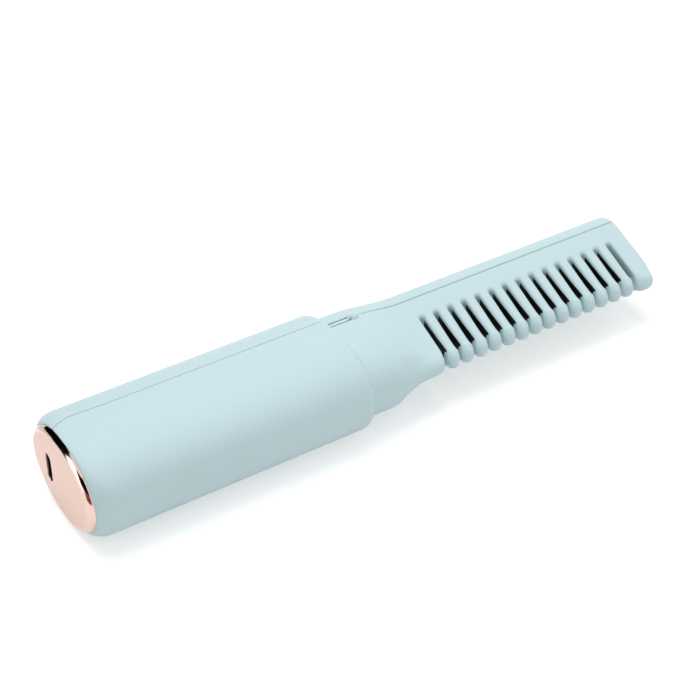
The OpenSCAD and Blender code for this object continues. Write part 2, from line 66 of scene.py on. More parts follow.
# Fade from the neck's oval to the blade's wedge along X, for the outline and for the faces. The
# faces' fade gives way to the outline's from FACE_Y on, over FACE_TO_EDGE.
NECK_END = 97.0
BLADE_X = 107.0
FACE_START = 95.0
FACE_END = 114.0
FACE_Y = 12.5
FACE_TO_EDGE = 5.5

# Blade: tip, edges, and the circles that its section goes round
TIP_X = 197.0
SPINE = 13.6
SPINE_R = 5.0
SPINE_Z = 4.8
SPINE_CY = SPINE - SPINE_R
TOOTH = 16.7
TOOTH_R = 3.1
TOOTH_CY = TOOTH_R - TOOTH
CENTRES = math.hypot(SPINE_Z, SPINE_CY - TOOTH_CY)
FACE_ANGLE = math.atan2(SPINE_Z, SPINE_CY - TOOTH_CY) + math.asin((SPINE_R - TOOTH_R) / CENTRES)

# Roundings that grow along Y, of the tip and of the gaps' edges. END is for the solid ends beside the
# first and last gap. Each growth is how much, from where and over what length.
TIP_R = 1.2
TIP_R_SPINE = (2.2, 5, 7)
TIP_R_TEETH = (1.8, 9, 6)
GAP_EDGE_R = 1.0
GAP_EDGE_R_TEETH = (0.55, 1, 11)
END_GAP_EDGE_R = 0.8
END_GAP_EDGE_R_TEETH = (1.9, 12, 4)

# Teeth: leaning gaps, and a bulb on the end of each bar between them
TEETH = 14
PITCH = 5.13
GAP0 = 117.0
GAP_LAST = GAP0 + TEETH * PITCH
GAP_W = 1.8
GAP_ROOT = 0.5
LEAN = 0.055
LEAN_Y = 10.6
BULB_W = 4.1
BULB_LOW = 16.4
BULB_RY = 2.5
BULB_RZ = 3.1
BULB_NECK_R = 0.9
BULBS_BELOW_Y = -8

# Space inside: its end in the blade, and the floor that it has from INNER_FLOOR_X on
INNER_END = 192
INNER_FLOOR = 1.5
INNER_FLOOR_X = NECK_END + 2

# Parting line: height in the CAD model, how far the groove's middle lies below it, half of the
# groove, and rounding of its edges
SEAM_Y = 6.9
SEAM_LOWER = 0.03
SEAM_GAP = 0.09
SEAM_ROUND = 0.25

# Bends of the parting line near the cap: a rise with its middle and width, and a fall with its length
SEAM_RISE = 0.5
SEAM_RISE_X = 8
SEAM_RISE_W = 4
SEAM_FALL = 1.5
SEAM_FALL_L = 6

# Snap fingers on both faces of the neck: ends along X, distance from the middle, slit, notch and bump
FINGER_X0 = 88.2
FINGER_X1 = 95.6
FINGER_Z = 9.0
SLIT_Y = 5.3
SLIT_HALF = 0.2
NOTCH_UP = 0.5
CUT_EDGE_R = 0.1
NUB_AT = (96.4, 5.9, 11.3)
NUB_R = (1.9, 1.3, 1.7)
NUB_FOOT_R = 0.15

# Holes in the lid for the power button and the three lights
BUTTON_X = 60.0
BUTTON_HOLE_R = 5.15
LED_XS = (41, 45, 49)
LED_HOLE_R = 1.05
HOLE_EDGE_R = 0.25
HOLES_ABOVE_Y = 10

# End cap: height and radius of its rim, the crown of its face, the foot that goes into the handle,
# the port's slot, and how many outlines and points it takes
CAP_H = 1.81
CAP_R = 1.815
CAP_PLAY = 0.03
RIM_LEAN = 5
RIM_INSET = CAP_R * (1 - math.sin(math.radians(RIM_LEAN)))
CROWN = 0.19
CROWN_INSET = 6.0
FACE_X = -CAP_H - CROWN
CAP_BACK_X = 0.9
CAP_BACK_INSET = 2.3
CAP_FOOT_X = 0.02
CAP_FOOT_INSET = 2.2
PORT_L = 9.4
PORT_W = 3.4
PORT_Y = 6.5
PORT_EDGE_R = 0.22
CAP_POINTS = 240
RIM_RINGS = 13
CROWN_RINGS = 9
FACE_RINGS = 4
PORT_EDGE_RINGS = 6
BACK_RINGS = 3

# Heated comb: cover over its teeth at root and tip and over its bar, its ends and its half thickness,
# the overlap of teeth and bar, how far the teeth stand out of the gaps' walls, its chamfers, the bar's
# lower face, and the short stretch at each of its ends
COVER_ROOT = 1.6
COVER_TIP = 0.8
COVER_BAR = 2.2
HEAT_ROOT = 1.9
HEAT_TIP = -13.2
HEAT_TOP = 6.6
HEAT_END_R = 0.9
HEAT_X0 = 113.2
HEAT_X1 = 191.5
HEAT_HALF_Z = 5
HEAT_OVERLAP = 0.3
HEAT_PROUD = 0.04
TOOTH_CHAMFER = 0.12
BAR_CHAMFER = 0.4
BAR_LOW = HEAT_ROOT + 0.05
BAR_END = 0.3

# Power button: its top is level with the spine, and its stem stands on the switch's plunger
BUTTON_TOP = HANDLE_A
BUTTON_R = 5.0
BUTTON_EDGE = 0.5
FLANGE_R = 6.2
FLANGE_LOW = 15.5
FLANGE_TOP = 16.5
DISH_R = 4.4
DISH_DEPTH = 0.35
STEM_R = 1.6
BOARD_TOP = PORT_Y - 1.63
PLUNGER_TOP = BOARD_TOP + 9.5
BUTTON_POINTS = 72
BUTTON_AXIS_R = 0.01

# From these coordinates to the frame's, whose origin is mid length and mid width on the flat back
SHIFT = np.array([-(TIP_X + FACE_X) / 2, 0.0, HANDLE_FLAT])

# Camera, as solved from the photograph's straight edges and known sizes
CAMERA_AT = (-121.997, -326.569, 306.176)
CAMERA_RIGHT = (0.84106, -0.54095, 0.00016)
CAMERA_UP = (0.32752, 0.50946, 0.79572)
CAMERA_LENS = 89.42
CAMERA_SENSOR = 36


# Camera
def make_camera():
    data = bpy.data.cameras.new("camera")
    cam = bpy.data.objects.new("camera", data)
    scene.collection.objects.link(cam)
    right = Vector(CAMERA_RIGHT).normalized()
    up = Vector(CAMERA_UP).normalized()
    back = right.cross(up).normalized()
    up = back.cross(right)
    place = (Vector(CAMERA_AT) + Vector(SHIFT)) * MM
    cam.matrix_world = Matrix(((right.x, up.x, back.x, place.x),
                               (right.y, up.y, back.y, place.y),
                               (right.z, up.z, back.z, place.z), (0, 0, 0, 1)))
    data.sensor_width = CAMERA_SENSOR
    data.lens = CAMERA_LENS
    data.clip_start = 0.01
    data.clip_end = 20
    scene.camera = cam


make_camera()


# Shape of the two shells, as distances in mm that are below 0 inside
FAR = 100.0


def smooth(f):
    """Soft step from 0 to 1, flat at both ends."""
    g = np.clip(f, 0, 1)
    return g * g * (3 - 2 * g)


def round_max(a, b, r):
    """Intersection of two distances with its outer edge rounded to radius r."""
    u, v = np.maximum(a + r, 0), np.maximum(b + r, 0)
    return np.where((u > 0) & (v > 0), np.sqrt(u * u + v * v) - r, np.maximum(a, b))


def round_min(a, b, r):
    """Union of two distances with its inner corner filled to radius r."""
    return -round_max(-a, -b, r)


def edge_drop(d, r):
    """How far a rounded edge of radius r has dropped at d past its start."""
    d = np.clip(d, 0, r)
    return r - np.sqrt(r * r - d * d)


def lip(x):
    """How far the shell has rounded in at x: 0 past the lip, 1 at the cap."""
    d = 1 - np.clip(x / LIP_L, 0, 1)
    return 1 - np.sqrt(1 - d * d)


def oval_distance(y, z, drop, f):
    """Distance from the handle's flattened oval, smaller by drop and drawn in by the lip's f."""
    a, b = HANDLE_A - drop - LIP_Y * f, HANDLE_B - drop - LIP_Z * f
    n = OVAL_POWER + (2 - OVAL_POWER) * f
    u, v = np.abs(y) / a, np.abs(z) / b
    s = np.maximum(u ** n + v ** n, 1e-9)
    g = s ** (1 / n)
    slope = g / s * np.hypot(u ** (n - 1) / a, v ** (n - 1) / b)
    d = (g - 1) / np.maximum(slope, 1e-3)
    return round_max(d, np.abs(z) - (HANDLE_FLAT - drop - LIP_Z * f), FLAT_EDGE_R)


def wedge_half(y):
    """Half thickness of the blade's flat faces at y."""
    return SPINE_Z + SPINE_R / math.cos(FACE_ANGLE) + (y - SPINE_CY) * math.tan(FACE_ANGLE)


def wedge_distance(y, z):
    """Distance from the blade's section: a band round three circles."""
    z = np.abs(z)
    c, s = math.cos(FACE_ANGLE), math.sin(FACE_ANGLE)
    ry, rz = y - SPINE_CY, z - SPINE_Z
    along = -ry * c - rz * s
    out = -ry * s + rz * c
    length = math.sqrt(CENTRES ** 2 - (SPINE_R - TOOTH_R) ** 2)
    at_spine = np.where(rz < 0, np.maximum(ry - SPINE_R, out - SPINE_R), np.hypot(ry, rz) - SPINE_R)
    at_tooth = np.hypot(y - TOOTH_CY, z) - TOOTH_R
    return np.where(along < 0, at_spine, np.where(along > length, at_tooth, out - SPINE_R))


def body_distance(x, y, z):
    """Distance from handle, neck and blade, without the tip's end."""
    drop = np.minimum(NECK_STEP, edge_drop(x - SHOULDER_X, SHOULDER_R))
    outline = smooth((x - NECK_END) / (BLADE_X - NECK_END))
    faces = smooth((x - FACE_START) / (FACE_END - FACE_START))
    on_face = 1 - smooth((np.abs(y) - FACE_Y) / FACE_TO_EDGE)
    f = outline + (faces - outline) * on_face
    return (1 - f) * oval_distance(y, z, drop, lip(x)) + f * wedge_distance(y, z)


def growth(y, most, start, length):
    """0 up to start, then a soft rise to most."""
    return most * smooth((y - start) / length)


def outer_distance(x, y, z):
    """Distance from the body with its two ends. The tip's corners are rounder at spine and teeth."""
    d = round_max(body_distance(x, y, z), -x, LIP_EDGE_R)
    corner = TIP_R + growth(y, *TIP_R_SPINE) + growth(-y, *TIP_R_TEETH)
    return round_max(d, x - LEAN * (y - LEAN_Y) - TIP_X, corner)


def gap_distance(x, y):
    """Distance from the leaning gaps between the teeth, in the comb's own plane."""
    x = x - LEAN * y
    i = np.clip(np.round((x - GAP0) / PITCH), 0, TEETH)
    low = GAP_ROOT - GAP_W / 2
    gx = np.abs(x - (GAP0 + i * PITCH))
    return np.where(y > low, np.hypot(gx, y - low), gx) - GAP_W / 2


def bulb_distance(x, y, z):
    """Distance from the nearest tooth's bulb, an ellipsoid."""
    x = x - LEAN * y
    j = np.clip(np.round((x - GAP0) / PITCH - 0.5), 0, TEETH - 1)
    rx, ry, rz = BULB_W / 2, BULB_RY, BULB_RZ
    bx, by, bz = (x - (GAP0 + (j + 0.5) * PITCH)) / rx, (y + BULB_LOW - ry) / ry, z / rz
    g = np.sqrt(bx * bx + by * by + bz * bz + 1e-9)
    return (g - 1) * g / np.sqrt((bx / rx) ** 2 + (by / ry) ** 2 + (bz / rz) ** 2 + 1e-9)


def shell_distance(x, y, z):
    """The whole shell as one solid body, before it is hollowed and parted at the seam."""
    lean_x = x - LEAN * y
    bars = (lean_x > GAP0) & (lean_x < GAP_LAST)
    edge = np.where(bars, GAP_EDGE_R + growth(-y, *GAP_EDGE_R_TEETH),
                    END_GAP_EDGE_R + growth(-y, *END_GAP_EDGE_R_TEETH))
    body = round_max(outer_distance(x, y, z), -gap_distance(x, y), edge)
    # the bars end inside their bulbs
    body = np.where(bars, np.maximum(body, -y - BULB_LOW + BULB_RY), body)
    with_bulbs = round_min(body, bulb_distance(x, y, z), BULB_NECK_R)
    return np.where(bars & (y < BULBS_BELOW_Y), with_bulbs, body)


def seam(x):
    """Height of the parting line at x. Near the cap it rises a little, then bends towards the teeth."""
    rise = SEAM_RISE * np.exp(-((x - SEAM_RISE_X) / SEAM_RISE_W) ** 2)
    fall = SEAM_FALL * np.clip(1 - x / SEAM_FALL_L, 0, 1) ** 2
    return SEAM_Y - SEAM_LOWER + (rise - fall)


def beside_finger(x, z):
    """Distance along and across from the windows that free the snap fingers of the neck."""
    middle, half = (FINGER_X0 + FINGER_X1) / 2, (FINGER_X1 - FINGER_X0) / 2
    return np.maximum(np.abs(x - middle) - half, FINGER_Z - np.abs(z))


def slit_distance(x, y, z):
    """Distance from the slit below each snap finger."""
    return np.maximum(np.abs(y - SLIT_Y) - SLIT_HALF, beside_finger(x, z))


def notch_distance(x, y, z):
    """Distance from the notch in the lid above each snap finger."""
    return np.maximum(y - SEAM_Y - NOTCH_UP, beside_finger(x, z))


def nub_distance(x, y, z):
    """Distance from the bump at each finger's free end."""
    terms = [((p - at) / r) ** 2 for p, at, r in zip((x, y, np.abs(z)), NUB_AT, NUB_R)]
    return np.sqrt(terms[0] + terms[1] + terms[2]) - 1


def inner_distance(x, y, z):
    """Distance from the space inside."""
    drop = np.minimum(NECK_STEP, edge_drop(x + WALL - SHOULDER_X, SHOULDER_R))
    d = np.where(x < NECK_END, oval_distance(y, z, drop, lip(x)), body_distance(x, y, z)) + WALL
    floor = np.where(x > INNER_FLOOR_X, INNER_FLOOR - y, -FAR)
    return np.maximum(np.maximum(d, x - INNER_END), floor)


def housing_distance(x, y, z):
    """The teeth-side moulding."""
    d = round_min(shell_distance(x, y, z), nub_distance(x, y, z), NUB_FOOT_R)
    d = np.maximum(d, -inner_distance(x, y, z))
    d = round_max(d, -slit_distance(x, y, z), CUT_EDGE_R)
    return round_max(d, y - seam(x) + SEAM_GAP, SEAM_ROUND)


def lid_distance(x, y, z):
    """The spine-side moulding, with its holes through the spine."""
    d = np.maximum(outer_distance(x, y, z), -inner_distance(x, y, z))
    d = round_max(d, seam(x) + SEAM_GAP - y, SEAM_ROUND)
    d = round_max(d, -notch_distance(x, y, z), CUT_EDGE_R)
    hole = BUTTON_HOLE_R - np.hypot(x - BUTTON_X, z)
    for led in LED_XS:
        hole = np.maximum(hole, LED_HOLE_R - np.hypot(x - led, z))
    return np.where(y > HOLES_ABOVE_Y, round_max(d, hole, HOLE_EDGE_R), d)


# Surface from a distance: how often a point moves, its longest move, and how far out of its cell
NEWTON_STEPS = 3
LONGEST_STEP = 0.3
CELL_SLACK = 0.05


def surface(distance, xs, ys, zs):
    """Points and quads of the zero surface of a distance, one point for each grid cell on it."""
    grids = (xs, ys, zs)
    values = distance(*np.meshgrid(xs, ys, zs, indexing="ij"))
    inside = values < 0
    mixed = mixed_cells(inside)
    cells = np.argwhere(mixed)
    points = settle(distance, crossings(values, grids, cells), grids, cells)
    return points, quads(inside, mixed, cells)


def mixed_cells(inside):
    """Which grid cells have corners on both sides of the surface."""
    nx, ny, nz = (n - 1 for n in inside.shape)
    count = sum(inside[i:i + nx, j:j + ny, k:k + nz].astype(np.int8)
                for i in (0, 1) for j in (0, 1) for k in (0, 1))
    return (count > 0) & (count < 8)


def crossings(values, grids, cells):
    """Average of the surface's crossings on the twelve edges of each cell."""
    total = np.zeros((len(cells), 3))
    hits = np.zeros(len(cells))
    for axis in range(3):
        for u in (0, 1):
            for v in (0, 1):
                start = cells.copy()
                start[:, (axis + 1) % 3] += u
                start[:, (axis + 2) % 3] += v
                end = start.copy()
                end[:, axis] += 1
                d0, d1 = values[tuple(start.T)], values[tuple(end.T)]
                cross = (d0 < 0) != (d1 < 0)
                t = np.where(cross, d0 / np.where(d0 == d1, 1, d0 - d1), 0)
                for q in range(3):
                    p0, p1 = grids[q][start[:, q]], grids[q][end[:, q]]
                    total[:, q] += np.where(cross, p0 + t * (p1 - p0), 0)
                hits += cross
    return total / hits[:, None]


def settle(distance, points, grids, cells):
    """Points moved onto the surface by short Newton steps, each kept to its own cell and a bit round it."""
    low = np.stack([grids[q][cells[:, q]] for q in range(3)], 1)
    high = np.stack([grids[q][cells[:, q] + 1] for q in range(3)], 1)
    for _ in range(NEWTON_STEPS):
        d, g = gradient(distance, points)
        move = -d[:, None] * g / np.maximum((g * g).sum(1), 0.2)[:, None]
        size = np.linalg.norm(move, axis=1)[:, None]
        move *= np.minimum(1, LONGEST_STEP / np.maximum(size, 1e-9))
        points = np.clip(points + move, low - CELL_SLACK, high + CELL_SLACK)
    return points


def quads(inside, mixed, cells):
    """A face for each grid edge that crosses the surface, through the four cells round that edge."""
    index = -np.ones(mixed.shape, np.int64)
    index[mixed] = np.arange(len(cells))
    faces = []
    for axis in range(3):
        p, q = (axis + 1) % 3, (axis + 2) % 3
        start = [slice(None)] * 3
        start[axis] = slice(0, -1)
        end = [slice(None)] * 3
        end[axis] = slice(1, None)
        edges = np.argwhere(inside[tuple(start)] != inside[tuple(end)])
        shape = mixed.shape
        within = (edges[:, p] > 0) & (edges[:, q] > 0) & (edges[:, p] < shape[p]) & (edges[:, q] < shape[q])
        edges = edges[within]
        around = []
        for dp, dq in ((-1, -1), (0, -1), (0, 0), (-1, 0)):
            cell = edges.copy()
            cell[:, p] += dp
            cell[:, q] += dq
            around.append(index[tuple(cell.T)])
        face = np.stack(around, 1)
        leaving = inside[tuple(edges.T)]
        face[~leaving] = face[~leaving][:, ::-1]
        faces.append(face)
    faces = np.concatenate(faces)
    return faces[(faces >= 0).all(1)]


def gradient(distance, p, h=0.02):
    """Distance at each point and its slope along each axis."""
    x, y, z = p.T
    d = distance(x, y, z)
    g = np.stack([distance(x + h, y, z) - distance(x - h, y, z),
                  distance(x, y + h, z) - distance(x, y - h, z),
                  distance(x, y, z + h) - distance(x, y, z - h)], 1) / (2 * h)
    return d, g


def mesh_piece(name, points, faces):
    """An object from points in mm and an array of faces, shaded smooth."""
    mesh = bpy.data.meshes.new(name)
    mesh.vertices.add(len(points))
    mesh.vertices.foreach_set("co", ((points + SHIFT) * MM).astype(np.float32).ravel())
    mesh.loops.add(faces.size)
    mesh.loops.foreach_set("vertex_index", faces.astype(np.int32).ravel())
    mesh.polygons.add(len(faces))
    n = faces.shape[1]
    mesh.polygons.foreach_set("loop_start", np.arange(0, faces.size, n, dtype=np.int32))
    mesh.update(calc_edges=True)
    mesh.validate()
    mesh.polygons.foreach_set("use_smooth", [True] * len(mesh.polygons))
    obj = bpy.data.objects.new(name, mesh)
    scene.collection.objects.link(obj)
    return obj


def grid_line(*runs):
    """Grid coordinates: each run is (start, stop, step), joined end to end."""
    out = []
    for a, b, step in runs:
        n = max(1, round((b - a) / step))
        out += list(a + (b - a) * np.arange(n) / n)
    return np.array(out + [runs[-1][1]])


# Grid lines: close together at the lip, the seam, the shoulder, the snap fingers and the teeth
XS = grid_line((-0.3, 1.0, 0.1), (1.0, 5.2, 0.3), (5.2, 14, 0.8), (14, 84, 1.6),
               (84, 89.0, 0.22), (89.0, 99.6, 0.25), (99.6, 115, 0.4), (115, 197.6, 0.28))
YS = grid_line((-20.9, -17.0, 0.4), (-17.0, 4.7, 0.3), (4.7, 7.8, 0.1), (7.8, 14.0, 0.35),
               (14.0, 20.9, 0.4))
ZS = grid_line((-14.7, 14.7, 0.3))


# Pieces swept through rings
def loft(name, rings):
    """A piece through rings of the same number of points, each joined to the next."""
    n = len(rings[0])
    points = np.concatenate([np.asarray(r, float) for r in rings])
    i = np.arange(n)
    faces = [np.stack([k * n + i, k * n + (i + 1) % n, (k + 1) * n + (i + 1) % n, (k + 1) * n + i], 1)
             for k in range(len(rings) - 1)]
    obj = mesh_piece(name, points, np.concatenate(faces))
    close_ends(obj, n)
    return obj


def close_ends(obj, n):
    """Fills the first and last ring of a loft with one face each."""
    mesh = obj.data
    count = len(mesh.vertices)
    points = [tuple(v.co) for v in mesh.vertices]
    faces = [tuple(p.vertices) for p in mesh.polygons]
    faces += [tuple(range(n - 1, -1, -1)), tuple(range(count - n, count))]
    mesh.clear_geometry()
    mesh.from_pydata(points, [], faces)
    mesh.polygons.foreach_set("use_smooth", [True] * len(faces))
    mesh.update()


def outward(obj):
    """Turns a closed piece's faces outward."""
    bm = bmesh.new()
    bm.from_mesh(obj.data)
    bmesh.ops.recalc_face_normals(bm, faces=bm.faces)
    bm.to_mesh(obj.data)
    bm.free()


def sharpen(obj, degrees):
    """Marks edges sharper than an angle, so that flat faces stay flat beside smooth ones."""
    bm = bmesh.new()
    bm.from_mesh(obj.data)
    limit = math.radians(degrees)
    for e in bm.edges:
        if len(e.link_faces) == 2:
            e.smooth = e.calc_face_angle(0) < limit
    bm.to_mesh(obj.data)
    bm.free()


def join(name, parts):
    """One piece from several, with their own closed meshes."""
    bm = bmesh.new()
    for p in parts:
        bm.from_mesh(p.data)
    mesh = bpy.data.meshes.new(name)
    bm.to_mesh(mesh)
    bm.free()
    for p in parts:
        bpy.data.objects.remove(p)
    obj = bpy.data.objects.new(name, mesh)
    scene.collection.objects.link(obj)
    return obj


# End cap
def cap_outline(x, inset):
    """The cap's outline at x: the ellipse in which the shell ends, with flats, moved in by inset."""
    t = 2 * np.pi * (np.arange(CAP_POINTS) + 0.5) / CAP_POINTS
    a, b = HANDLE_A - LIP_Y - CAP_PLAY, HANDLE_B - LIP_Z - CAP_PLAY
    s = np.hypot(a * np.cos(t), b * np.sin(t))
    y, z = a * a * np.cos(t) / s - inset * np.cos(t), b * b * np.sin(t) / s - inset * np.sin(t)
    flat = HANDLE_FLAT - LIP_Z - CAP_PLAY - inset
    return np.stack([np.full(CAP_POINTS, float(x)), y, np.clip(z, -flat, flat)], 1)


def port_outline(x, grow):
    """The port's rounded slot at x, wider all round by grow."""
    t = 2 * np.pi * (np.arange(CAP_POINTS) + 0.5) / CAP_POINTS
    r = PORT_W / 2 + grow
    y, z = PORT_Y + r * np.cos(t), (PORT_L - PORT_W) / 2 * np.sign(np.sin(t)) + r * np.sin(t)
    return np.stack([np.full(CAP_POINTS, float(x)), y, z], 1)


def ramp(a, b, steps):
    """Outlines from a to b in equal steps, both included."""
    return [a + (b - a) * k / steps for k in range(steps + 1)]


def make_cap():
    """One closed band of outlines: foot, rim, crowned face, port and back."""
    foot = [cap_outline(CAP_BACK_X, CAP_BACK_INSET), cap_outline(CAP_FOOT_X, CAP_FOOT_INSET),
            cap_outline(0, 0)]
    rim = [cap_outline(-CAP_R * math.sin(a), CAP_R * (1 - math.cos(a)))
           for a in np.radians(np.linspace(0, 90 - RIM_LEAN, RIM_RINGS))]
    crown = []
    for k in range(1, CROWN_RINGS):
        left = 1 - k / CROWN_RINGS
        inset = CROWN_INSET + (RIM_INSET - CROWN_INSET) * left
        crown.append(cap_outline(FACE_X + CROWN * left ** 2, inset))
    face = ramp(cap_outline(FACE_X, CROWN_INSET), port_outline(FACE_X, PORT_EDGE_R), FACE_RINGS)
    port = [port_outline(PORT_EDGE_R * (1 - math.sin(a)) + FACE_X, PORT_EDGE_R * (1 - math.cos(a)))
            for a in np.radians(np.linspace(90, 0, PORT_EDGE_RINGS))]
    back = ramp(port_outline(CAP_BACK_X, 0), cap_outline(CAP_BACK_X, CAP_BACK_INSET), BACK_RINGS)
    rings = foot + rim + crown + face + port[1:] + back[:-1]
    n = CAP_POINTS
    k, i = np.meshgrid(np.arange(len(rings)), np.arange(n), indexing="ij")
    after = (k + 1) % len(rings)
    faces = np.stack([k * n + i, k * n + (i + 1) % n, after * n + (i + 1) % n, after * n + i], 2)
    obj = mesh_piece("cap_skin", np.concatenate(rings), faces.reshape(-1, 4))
    outward(obj)
    sharpen(obj, 35)
    return obj


def polish_rim(cap):
    """Puts the cap's second material on its rim."""
    for p in cap.data.polygons:
        x = p.center.x / MM - SHIFT[0]
        p.material_index = 1 if x > -CAP_H and abs(p.normal.x) < 0.9999 else 0


# Heated comb
def heater_tooth(j):
    """Tooth j: chamfered sections that follow the blade's faces and are rounded off at the tip."""
    half_w = (PITCH - GAP_W) / 2 + HEAT_PROUD
    end = HEAT_TIP + HEAT_END_R
    ys = np.concatenate([np.linspace(HEAT_ROOT + HEAT_OVERLAP, end, 10),
                         HEAT_TIP + HEAT_END_R * (1 - np.sin(np.radians(np.linspace(15, 88, 8))))])
    rings = []
    for y in ys:
        f = np.clip((HEAT_ROOT - y) / (HEAT_ROOT - HEAT_TIP), 0, 1)
        t = wedge_half(y) - COVER_ROOT - (COVER_TIP - COVER_ROOT) * f
        round_off = np.clip((end - y) / HEAT_END_R, 0, 1)
        t += HEAT_END_R * (math.sqrt(1 - round_off * round_off) - 1)
        xc, c = GAP0 + (j + 0.5) * PITCH + LEAN * y, min(TOOTH_CHAMFER, t / 2)
        rings.append([[xc + sx, y, sz] for sx, sz in (
            (-half_w, c - t), (-half_w, t - c), (c - half_w, t), (half_w - c, t),
            (half_w, t - c), (half_w, c - t), (half_w - c, -t), (c - half_w, -t))])
    return loft("tooth", rings)


def make_heater():
    """The teeth and the bar that joins them inside the blade."""
    z_low = wedge_half(HEAT_ROOT) - COVER_BAR
    cut, z_top = HEAT_TOP - BAR_CHAMFER, HEAT_HALF_Z - BAR_CHAMFER
    section = [(BAR_LOW, -z_low), (cut, -HEAT_HALF_Z), (HEAT_TOP, -z_top),
               (HEAT_TOP, z_top), (cut, HEAT_HALF_Z), (BAR_LOW, z_low)]
    xs = (HEAT_X0, HEAT_X0 + BAR_END, HEAT_X1 - BAR_END, HEAT_X1)
    parts = [heater_tooth(j) for j in range(TEETH)]
    parts.append(loft("bar", [[[x, y, z] for y, z in section] for x in xs]))
    obj = join("heater_skin", parts)
    outward(obj)
    sharpen(obj, 30)
    return obj


# Power button
def turned(name, profile):
    """A piece turned about the button's axis, from pairs of radius and height."""
    t = 2 * np.pi * np.arange(BUTTON_POINTS) / BUTTON_POINTS
    return loft(name, [np.stack([BUTTON_X + r * np.cos(t), np.full(BUTTON_POINTS, y), r * np.sin(t)], 1)
                       for r, y in profile])


def make_button():
    """The button's cap: flange, rounded edge and a shallow dish on top, with the stem below."""
    profile = [(BUTTON_AXIS_R, FLANGE_LOW), (FLANGE_R, FLANGE_LOW), (FLANGE_R, FLANGE_TOP),
               (BUTTON_R, FLANGE_TOP), (BUTTON_R, BUTTON_TOP - 2)]
    profile += [(BUTTON_R - BUTTON_EDGE * (1 - math.cos(a)), BUTTON_TOP - BUTTON_EDGE * (1 - math.sin(a)))
                for a in np.radians(np.linspace(0, 90, 8))]
    profile += [(r, BUTTON_TOP - DISH_DEPTH * (1 - (r / DISH_R) ** 2) ** 1.5)
                for r in np.linspace(DISH_R - 0.1, BUTTON_AXIS_R, 14)]
    stem = [(STEM_R, PLUNGER_TOP), (STEM_R, FLANGE_LOW + 0.1)]
    obj = join("button_skin", [turned("top", profile), turned("stem", stem)])
    outward(obj)
    sharpen(obj, 40)
    return obj


# Materials
SHELL_BLUE = (0.585, 0.755, 0.79)
CAP_ROSE = (0.81, 0.61, 0.53)
STEEL = (0.52, 0.53, 0.55)
DARK = (0.018, 0.018, 0.02)
PACKAGE = (0.02, 0.02, 0.022)
# The battery cell: its middle along X, and half the length that its sleeve covers
CELL_MID_X = 41.6
SLEEVE_HALF = 31.7


def new_material(name, color, rough, metal=0.0):
    """A node material with its constant values set on the shader: material, tree and shader."""
    m = bpy.data.materials.new(name)
    m.use_nodes = True
    b = m.node_tree.nodes["Principled BSDF"]
    b.inputs["Base Color"].default_value = (*color, 1)
    b.inputs["Roughness"].default_value = rough
    b.inputs["Metallic"].default_value = metal
    return m, m.node_tree, b


def coords(tree, stretch=(1, 1, 1)):
    """Object coordinates in mm, stretched by a factor along each axis."""
    coord, scale = tree.nodes.new("ShaderNodeTexCoord"), tree.nodes.new("ShaderNodeMapping")
    scale.inputs["Scale"].default_value = [s * 1000 for s in stretch]
    tree.links.new(coord.outputs["Object"], scale.inputs["Vector"])
    return scale.outputs["Vector"]


def noise(tree, vector, scale, detail=3.0, rough=0.5):
    """A noise texture's 0 to 1 output, at a scale per mm."""
    n = tree.nodes.new("ShaderNodeTexNoise")
    n.inputs["Scale"].default_value = scale
    n.inputs["Detail"].default_value = detail
    n.inputs["Roughness"].default_value = rough
    tree.links.new(vector, n.inputs["Vector"])
    return n.outputs["Fac"]


def bump(tree, bsdf, height, strength, depth_mm):
    """Raises the shader's normal by a height texture."""
    n = tree.nodes.new("ShaderNodeBump")
    n.inputs["Strength"].default_value = strength
    n.inputs["Distance"].default_value = depth_mm * MM
    tree.links.new(height, n.inputs["Height"])
    tree.links.new(n.outputs["Normal"], bsdf.inputs["Normal"])


def spread(tree, factor, low, high, socket):
    """Drives a number or a colour between two values from a 0 to 1 factor.

    A number changes where the factor goes from 0.3 to 0.7, since a noise has most of its values there.
    """
    if isinstance(low, tuple):
        n = tree.nodes.new("ShaderNodeMix")
        n.data_type = "RGBA"
        n.inputs[6].default_value, n.inputs[7].default_value = (*low, 1), (*high, 1)
        tree.links.new(factor, n.inputs[0])
        tree.links.new(n.outputs[2], socket)
    else:
        n = tree.nodes.new("ShaderNodeMapRange")
        n.inputs["From Min"].default_value, n.inputs["From Max"].default_value = 0.3, 0.7
        n.inputs["To Min"].default_value, n.inputs["To Max"].default_value = low, high
        tree.links.new(factor, n.inputs["Value"])
        tree.links.new(n.outputs["Result"], socket)


def scaled(color, f):
    """A colour made lighter or darker by f."""
    return tuple(min(1.0, c * f) for c in color)


def math_node(tree, operation, *inputs):
    """A math node's output, from sockets or numbers."""
    n = tree.nodes.new("ShaderNodeMath")
    n.operation = operation
    for socket, value in zip(n.inputs, inputs):
        if isinstance(value, (int, float)):
            socket.default_value = value
        else:
            tree.links.new(value, socket)
    return n.outputs[0]


def moulded(name, color, rough, grain=5.0, depth=0.02, strength=0.15, vary=0.03):
    """Moulded plastic: fine spark-eroded grain, with slow changes of tone."""
    m, t, b = new_material(name, color, rough)
    v = coords(t)
    fine = noise(t, v, grain, 2.0)
    bump(t, b, fine, strength, depth)
    spread(t, fine, rough - 0.04, rough + 0.05, b.inputs["Roughness"])
    slow = noise(t, v, 0.08, 2.0)
    spread(t, slow, scaled(color, 1 - vary), scaled(color, 1 + vary), b.inputs["Base Color"])
    return m


